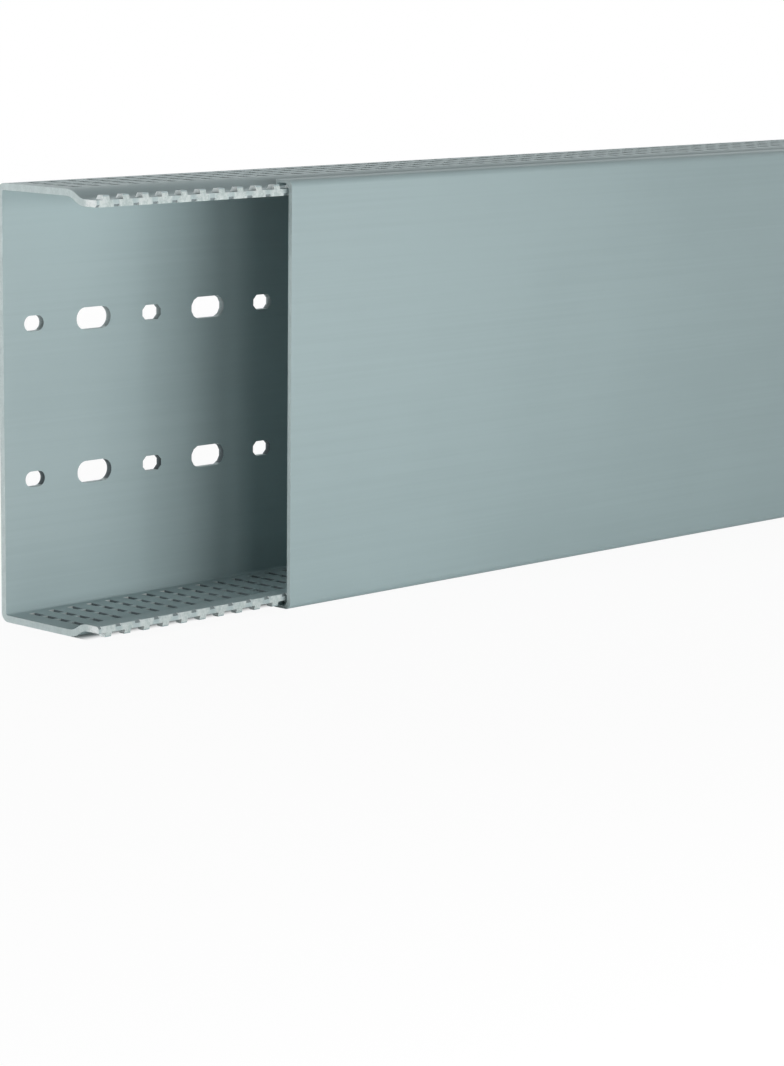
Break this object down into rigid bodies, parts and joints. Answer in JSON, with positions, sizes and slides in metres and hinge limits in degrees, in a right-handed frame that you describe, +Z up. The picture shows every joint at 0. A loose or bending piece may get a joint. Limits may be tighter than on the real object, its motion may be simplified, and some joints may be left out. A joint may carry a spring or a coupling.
{
  "type": "slotted wire duct",
  "caption": "Rectangular cable duct with slotted side walls, hooked lips, punched fixing holes and a clip-on cover that slides along it.",
  "frame": {"origin": "bottom centre of the whole part's box, on the floor it stands on, with the cover in the place the picture shows", "axes": "+X along the duct towards the end the cover overhangs, +Y out of the back wall towards the panel it is fixed to, +Z up across the duct's width; the covered front faces -Y"},
  "size_m": [0.58, 0.05, 0.14],
  "materials": {
    "trough_plastic": "satin grey extruded PVC",
    "cover_plastic": "satin grey extruded PVC"
  },
  "bodies": {
    "trough": {"duct_trough": "trough_plastic"},
    "cover": {"duct_cover": "cover_plastic"}
  },
  "joints": [
    {"name": "cover_slide", "type": "slide", "parent": "trough", "child": "cover", "axis": [1, 0, 0], "range_m": [-0.08, 0.42]}
  ]
}
